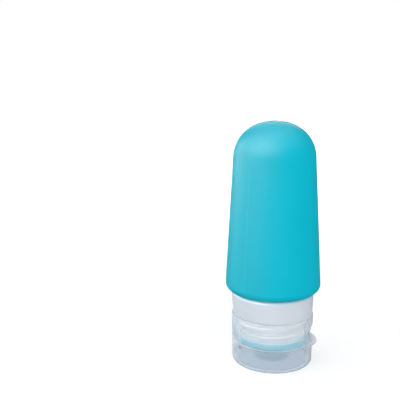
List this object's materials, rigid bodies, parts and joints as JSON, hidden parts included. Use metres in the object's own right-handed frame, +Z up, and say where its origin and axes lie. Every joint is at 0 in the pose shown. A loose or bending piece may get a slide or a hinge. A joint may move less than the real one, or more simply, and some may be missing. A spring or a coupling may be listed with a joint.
{
  "type": "travel silicone bottle",
  "caption": "Squeezable silicone travel bottle with a domed body, a hard threaded collar and a frosted flip-top screw cap that it stands on.",
  "frame": {"origin": "centre of the closed lid's flat outer face, which the bottle stands on", "axes": "+Z up along the bottle's axis to the domed end, +X to the lid's thumb tab, so -X to the living hinge and -Y to the front of the picture"},
  "size_m": [0.0468, 0.0468, 0.1199],
  "materials": {
    "silicone": "matte, slightly translucent teal silicone",
    "collar_plastic": "satin white polypropylene",
    "cap_plastic": "frosted translucent polypropylene",
    "valve_silicone": "clear matte silicone",
    "ring_plastic": "satin white polypropylene"
  },
  "bodies": {
    "bottle": {"silicone_body": "silicone", "collar": "collar_plastic"},
    "ring": {"valve_ring": "ring_plastic"},
    "cap": {"cap_base": "cap_plastic", "valve": "valve_silicone", "living_hinge": "cap_plastic"},
    "lid": {"lid": "cap_plastic"}
  },
  "joints": [
    {"name": "cap_lift", "type": "slide", "parent": "bottle", "child": "ring", "axis": [0, 0, -1], "range_m": [0, 0.0063]},
    {"name": "cap_turn", "type": "hinge", "parent": "ring", "child": "cap", "pos_m": [0, 0, 0.0185], "axis": [0, 0, -1], "range_deg": [0, 540]},
    {"name": "lid_hinge", "type": "hinge", "parent": "cap", "child": "lid", "pos_m": [-0.01993, 0, 0.0115], "axis": [0, 1, 0], "range_deg": [0, 150], "deforming": ["living_hinge"]}
  ],
  "couplings": [
    {"joint": "cap_turn", "follows": "cap_lift", "rad_per_m": 1496}
  ]
}
